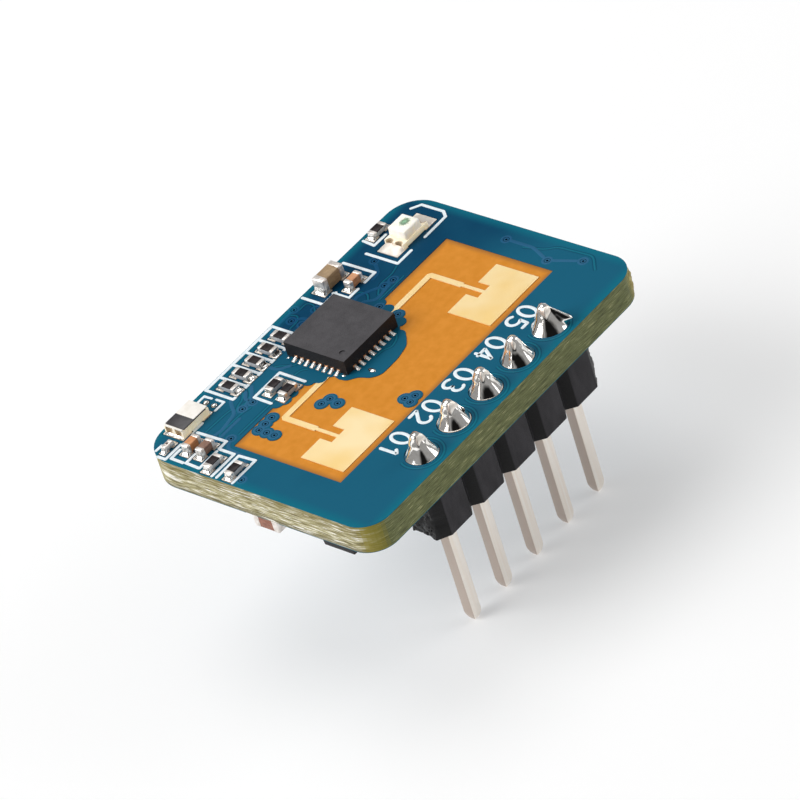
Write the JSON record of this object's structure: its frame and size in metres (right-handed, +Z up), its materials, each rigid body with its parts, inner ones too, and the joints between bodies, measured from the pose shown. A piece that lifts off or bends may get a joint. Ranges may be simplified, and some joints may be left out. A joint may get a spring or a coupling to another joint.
{
  "type": "microwave radar sensor module",
  "caption": "Small rectangular circuit board with a radar chip, patch antennas in a bare window, chip parts, a small lamp and a straight pin header under one long edge.",
  "frame": {"origin": "centre of the header housing's underside, on the middle pin's axis", "axes": "+X along the row of pins, +Y from the pin row towards the far long edge, +Z up from the housing through the board"},
  "size_m": [0.0216, 0.0151, 0.012],
  "materials": {
    "laminate": "bare glass-epoxy with milled olive edge",
    "solder_mask": "semi-gloss teal-blue film",
    "ink": "printed white ink",
    "gold": "flat immersion-gold plating",
    "solder": "bright flowed solder",
    "pin_metal": "plated pale champagne",
    "housing": "moulded black, fine grain",
    "chip_plastic": "moulded dark grey, matte",
    "copper": "cut copper ends",
    "ceramic": "white ceramic with a black glaze on top",
    "terminal": "tin-plated ends",
    "brown_ceramic": "fired brown ceramic",
    "lamp_resin": "cream resin",
    "lamp_clear": "cloudy clear resin",
    "green_die": "green die",
    "dark_window": "dark smooth resin"
  },
  "bodies": {
    "root": {"laminate": "laminate", "top_mask": "solder_mask", "bottom_mask": "solder_mask", "silkscreen": "ink", "left_antenna": "gold", "right_antenna": "gold", "surface_pads": "solder", "header_pads": "solder", "via_barrels": "solder_mask", "header_housing": "housing", "pin_1": "pin_metal", "pin_2": "pin_metal", "pin_3": "pin_metal", "pin_4": "pin_metal", "pin_5": "pin_metal", "solder_joint_1": "solder", "solder_joint_2": "solder", "solder_joint_3": "solder", "solder_joint_4": "solder", "solder_joint_5": "solder", "radar_chip": "chip_plastic", "chip_leads": "copper", "chip_solder": "solder", "led_base": "lamp_resin", "led_dome": "lamp_clear", "led_die": "green_die", "led_terminals": "terminal", "light_sensor_base": "lamp_resin", "light_sensor_window": "dark_window", "light_sensor_terminals": "terminal", "resistor_1": "ceramic", "resistor_2": "ceramic", "resistor_3": "ceramic", "resistor_4": "ceramic", "resistor_5": "ceramic", "resistor_6": "ceramic", "resistor_7": "ceramic", "resistor_8": "ceramic", "resistor_9": "ceramic", "resistor_10": "ceramic", "capacitor_1": "brown_ceramic", "capacitor_2": "brown_ceramic", "capacitor_3": "brown_ceramic", "capacitor_4": "brown_ceramic", "bead": "terminal", "bottom_capacitor": "brown_ceramic", "regulator": "chip_plastic", "end_terminals": "terminal", "solder_fillets": "solder"}
  },
  "joints": []
}
